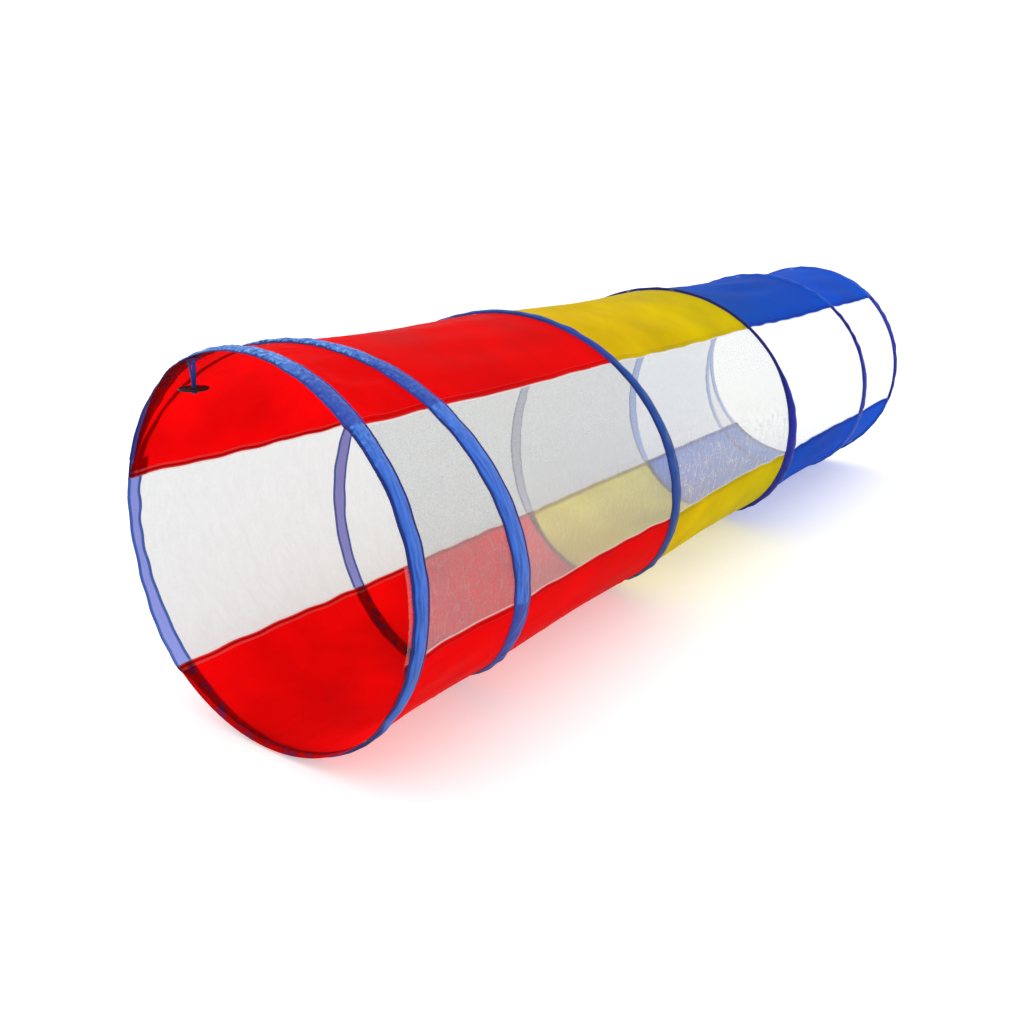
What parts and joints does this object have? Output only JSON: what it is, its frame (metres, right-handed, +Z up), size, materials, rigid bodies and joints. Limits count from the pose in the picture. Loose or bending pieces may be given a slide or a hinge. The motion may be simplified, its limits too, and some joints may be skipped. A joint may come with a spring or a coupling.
{
  "type": "pop-up play tunnel",
  "caption": "Cloth play tunnel on one coiled spring wire, with coloured panels, mesh side windows and a closure loop; it folds flat along its length.",
  "frame": {"origin": "middle of the tunnel's overall box, on the surface it stands on", "axes": "+X along the tunnel from its near mouth, where the closure loop hangs, to its far mouth; +Z up; -Y is the side of the window that is rolled up"},
  "size_m": [1.8178, 0.4849, 0.4839],
  "materials": {
    "red_cloth": "thin satin polyester",
    "yellow_cloth": "thin satin polyester",
    "blue_cloth": "thin satin polyester",
    "white_mesh": "sheer knitted polyester mesh",
    "blue_ribbon": "folded ribbon fabric with stitched edges",
    "spring_steel": "drawn spring steel",
    "black_disc": "smooth matt plastic"
  },
  "bodies": {
    "near_end": {"near_end_casing": "blue_ribbon", "near_ferrule_cover": "blue_ribbon", "near_wire_ferrule": "spring_steel", "spring_wire": "spring_steel", "closure_tab": "blue_ribbon", "strip_1_top_panel": "red_cloth", "strip_1_near_window": "white_mesh", "strip_1_bottom_panel": "red_cloth", "strip_1_far_window": "white_mesh", "coil_casing_1": "blue_ribbon", "strip_2_top_panel": "red_cloth", "strip_2_near_window": "white_mesh", "strip_2_bottom_panel": "red_cloth", "strip_2_far_window": "white_mesh"},
    "second_turn": {"coil_casing_2": "blue_ribbon", "strip_3_top_panel": "yellow_cloth", "strip_3_near_window": "white_mesh", "strip_3_bottom_panel": "yellow_cloth", "strip_3_far_window": "white_mesh"},
    "third_turn": {"coil_casing_3": "blue_ribbon", "strip_4_top_panel": "blue_cloth", "strip_4_near_window": "white_mesh", "strip_4_bottom_panel": "blue_cloth", "strip_4_far_window": "white_mesh"},
    "fourth_turn": {"coil_casing_4": "blue_ribbon", "strip_5_top_panel": "blue_cloth", "strip_5_near_window": "white_mesh", "strip_5_bottom_panel": "blue_cloth", "strip_5_far_window": "white_mesh"},
    "far_end": {"far_end_casing": "blue_ribbon", "far_ferrule_cover": "blue_ribbon", "far_wire_ferrule": "spring_steel"},
    "closure": {"closure_loop": "blue_ribbon", "closure_disc": "black_disc"}
  },
  "joints": [
    {"name": "fold", "type": "slide", "parent": "near_end", "child": "far_end", "axis": [1, 0, 0], "range_m": [-1.72, 0], "stiffness_N_per_m": 12, "springref_m": 0.2, "deforming": ["spring_wire", "coil_casing_1", "strip_1_top_panel", "strip_1_near_window", "strip_1_bottom_panel", "strip_1_far_window", "strip_2_top_panel", "strip_2_near_window", "strip_2_bottom_panel", "strip_2_far_window"]},
    {"name": "second_turn_fold", "type": "slide", "parent": "near_end", "child": "second_turn", "axis": [1, 0, 0], "range_m": [-0.375, 0], "deforming": ["coil_casing_2", "strip_3_top_panel", "strip_3_near_window", "strip_3_bottom_panel", "strip_3_far_window"]},
    {"name": "third_turn_fold", "type": "slide", "parent": "near_end", "child": "third_turn", "axis": [1, 0, 0], "range_m": [-0.855, 0], "deforming": ["coil_casing_3", "strip_4_top_panel", "strip_4_near_window", "strip_4_bottom_panel", "strip_4_far_window"]},
    {"name": "fourth_turn_fold", "type": "slide", "parent": "near_end", "child": "fourth_turn", "axis": [1, 0, 0], "range_m": [-1.318, 0], "deforming": ["coil_casing_4", "strip_5_top_panel", "strip_5_near_window", "strip_5_bottom_panel", "strip_5_far_window"]},
    {"name": "closure_swing", "type": "hinge", "parent": "near_end", "child": "closure", "pos_m": [-0.8919, 0.07141, 0.46427], "axis": [0, 0.9521, -0.3057], "range_deg": [-45, 90]}
  ],
  "couplings": [
    {"joint": "second_turn_fold", "follows": "fold", "ratio": 0.218},
    {"joint": "third_turn_fold", "follows": "fold", "ratio": 0.497},
    {"joint": "fourth_turn_fold", "follows": "fold", "ratio": 0.766}
  ]
}
